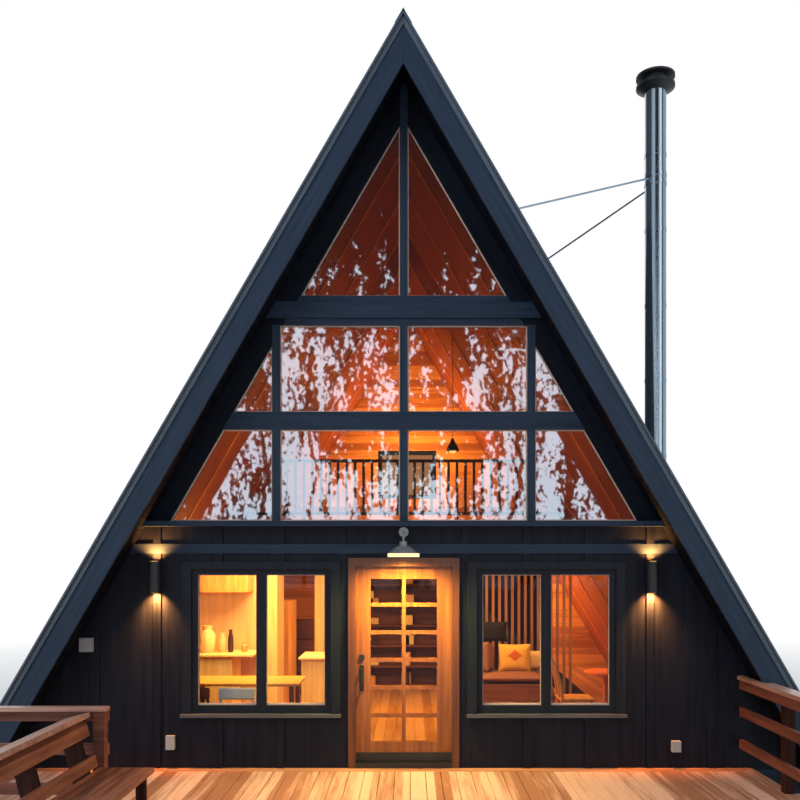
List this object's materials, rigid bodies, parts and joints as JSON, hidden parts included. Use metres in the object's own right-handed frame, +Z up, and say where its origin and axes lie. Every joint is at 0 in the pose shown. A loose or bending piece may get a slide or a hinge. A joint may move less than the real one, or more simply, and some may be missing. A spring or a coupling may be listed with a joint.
{
  "type": "a-frame cabin",
  "caption": "A-frame timber cabin with a glazed gable, half-glazed entrance door, loft, outside steel flue, and a front deck with railings and a bench.",
  "frame": {"origin": "middle of the underside of the bounding box, on the ground", "axes": "+X to the right seen from the deck, +Y from the deck to the back wall, +Z up"},
  "size_m": [8.6488, 13.619, 8.544],
  "materials": {
    "concrete": "cast concrete",
    "framing": "sawn softwood",
    "floor_wood": "oiled boards",
    "lining_wood": "clear finished boards",
    "dark_siding": "dark blue-black paint",
    "dark_trim": "dark slate paint",
    "dark_wood": "dark stain",
    "door_wood": "clear varnish",
    "deck_wood": "oiled softwood",
    "roofing": "mineral felt shingles",
    "window_glass": "clear glass",
    "stainless": "bright rolled steel",
    "steel": "plain steel",
    "dark_metal": "satin black",
    "grey_metal": "satin grey",
    "grey_plastic": "matt grey"
  },
  "bodies": {
    "cabin": {"foundation_ends": "concrete", "foundation_sides": "concrete", "floor_frame": "framing", "cabin_floor": "floor_wood", "front_wall_left": "dark_siding", "front_wall_right": "dark_siding", "front_wall_over_door": "dark_siding", "front_trim": "dark_trim", "front_battens": "dark_siding", "gable_edges": "dark_trim", "gable_rails": "dark_trim", "gable_mullions": "dark_trim", "gable_glass": "window_glass", "window_frames": "dark_trim", "window_glass": "window_glass", "window_sills": "dark_trim", "window_casings": "dark_trim", "door_frame": "door_wood", "door_threshold": "dark_metal", "frame_hinges": "steel", "back_wall": "dark_siding", "back_trim": "dark_trim", "ridge_board": "framing", "rafters": "framing", "roof_sheathing": "framing", "ceiling_lining": "lining_wood", "soffits": "dark_trim", "rake_boards": "dark_trim", "rake_trims": "dark_trim", "roofing": "roofing", "ridge_cap": "dark_metal", "loft_floor": "floor_wood", "loft_railing": "dark_wood", "stair_stringers": "dark_wood", "stair_treads": "floor_wood", "stair_screen": "dark_wood", "flue_pipe": "stainless", "flue_support": "dark_metal", "flue_bands": "stainless", "flue_flashing": "dark_metal", "flue_cap": "dark_metal", "flue_struts": "stainless", "wall_lamps": "dark_metal", "lamp_shade": "grey_metal", "lamp_arm": "grey_metal", "wall_boxes": "grey_plastic", "deck_floor": "deck_wood", "deck_frame": "deck_wood", "deck_posts": "deck_wood", "deck_railings": "deck_wood", "rail_caps": "deck_wood", "bench_frames": "deck_wood", "bench_boards": "deck_wood", "deck_steps": "deck_wood"},
    "door": {"door_leaf": "door_wood", "door_glass": "window_glass", "door_handle": "dark_metal", "door_hinges": "steel"}
  },
  "joints": [
    {"name": "door_swing", "type": "hinge", "parent": "cabin", "child": "door", "pos_m": [0.48875, -2.1225, 1.6], "axis": [0, 0, -1], "range_deg": [0, 100]}
  ]
}
